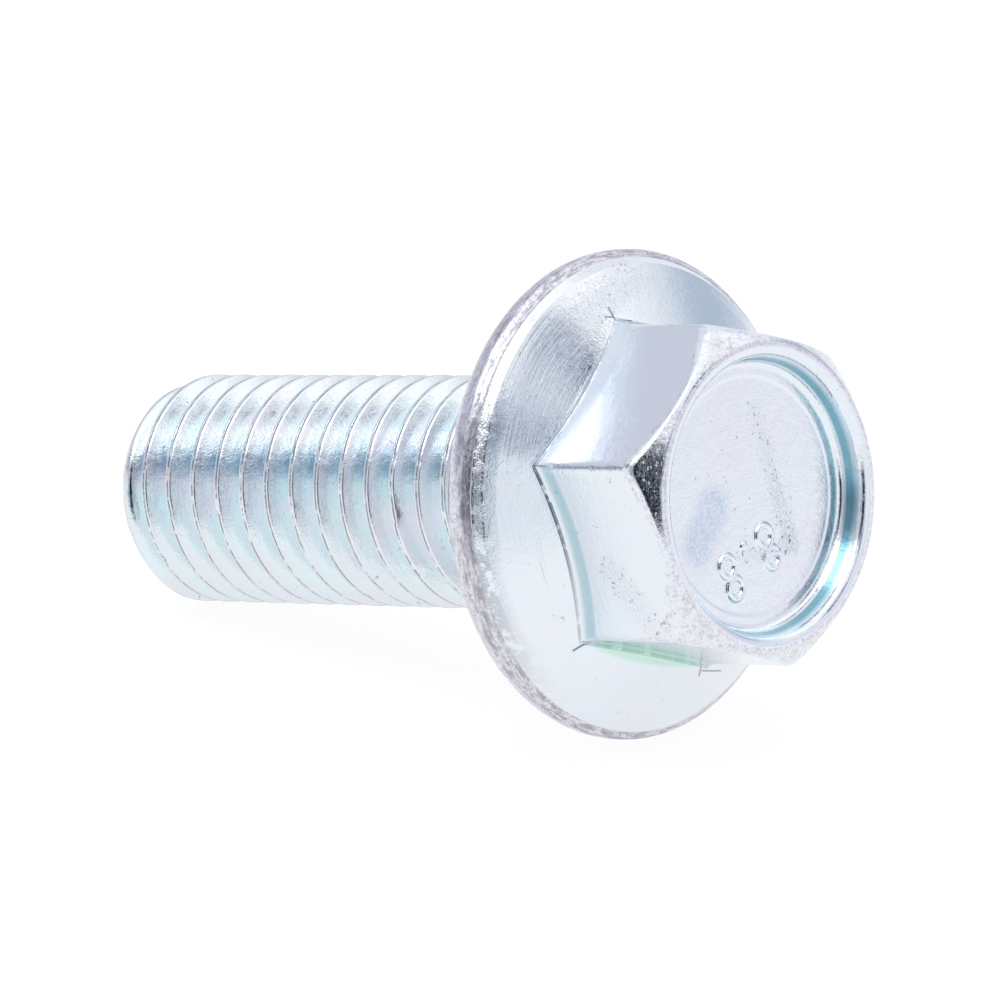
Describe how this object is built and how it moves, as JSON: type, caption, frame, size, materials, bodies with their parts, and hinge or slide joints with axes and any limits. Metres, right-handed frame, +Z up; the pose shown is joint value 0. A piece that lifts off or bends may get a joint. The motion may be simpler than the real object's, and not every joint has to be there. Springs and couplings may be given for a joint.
{
  "type": "flange bolt",
  "caption": "Hexagon bolt with a solid flange under its head, a shallow recess in the head and a coarse metric thread along the whole shank, zinc plated.",
  "frame": {"origin": "on the surface that the bolt lies on, under the middle of its box", "axes": "+X from the threaded end towards the head, +Z up; the shank's axis lies over X and rises 11.91 degrees towards the head"},
  "size_m": [0.0352, 0.0202, 0.0199],
  "materials": {
    "zinc_plated_steel": "bright zinc plate with a pale blue passivate, rougher and greyer on the flange rim and the head's shoulders"
  },
  "bodies": {
    "root": {"flange_bolt": "zinc_plated_steel"}
  },
  "joints": []
}
